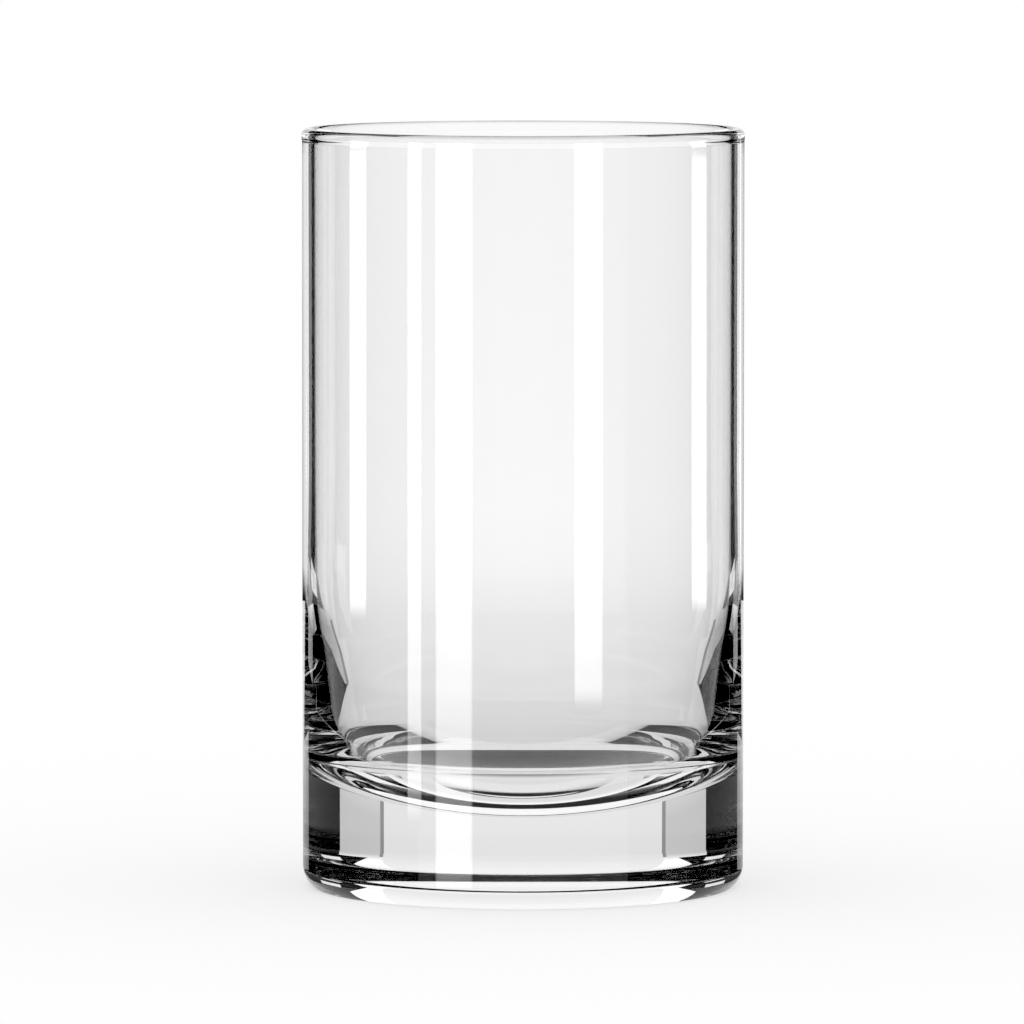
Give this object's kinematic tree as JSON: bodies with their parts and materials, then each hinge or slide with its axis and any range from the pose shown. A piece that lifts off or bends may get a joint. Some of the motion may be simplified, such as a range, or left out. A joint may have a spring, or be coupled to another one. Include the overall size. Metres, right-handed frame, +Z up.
{
  "type": "highball glass",
  "caption": "Straight-sided clear drinking glass with a rounded rim, a thin wall that swells towards the bottom, a dished floor, and a thick solid base.",
  "frame": {"origin": "middle of the foot, on the plane that the glass rests on", "axes": "+Z up the axis of the glass, from the foot to the rim; X and Y lie in the plane of the foot, and the glass is round, so their direction is free"},
  "size_m": [0.067, 0.067, 0.1146],
  "materials": {
    "clear_glass": "clear, fire-polished"
  },
  "bodies": {
    "root": {"tumbler": "clear_glass"}
  },
  "joints": []
}
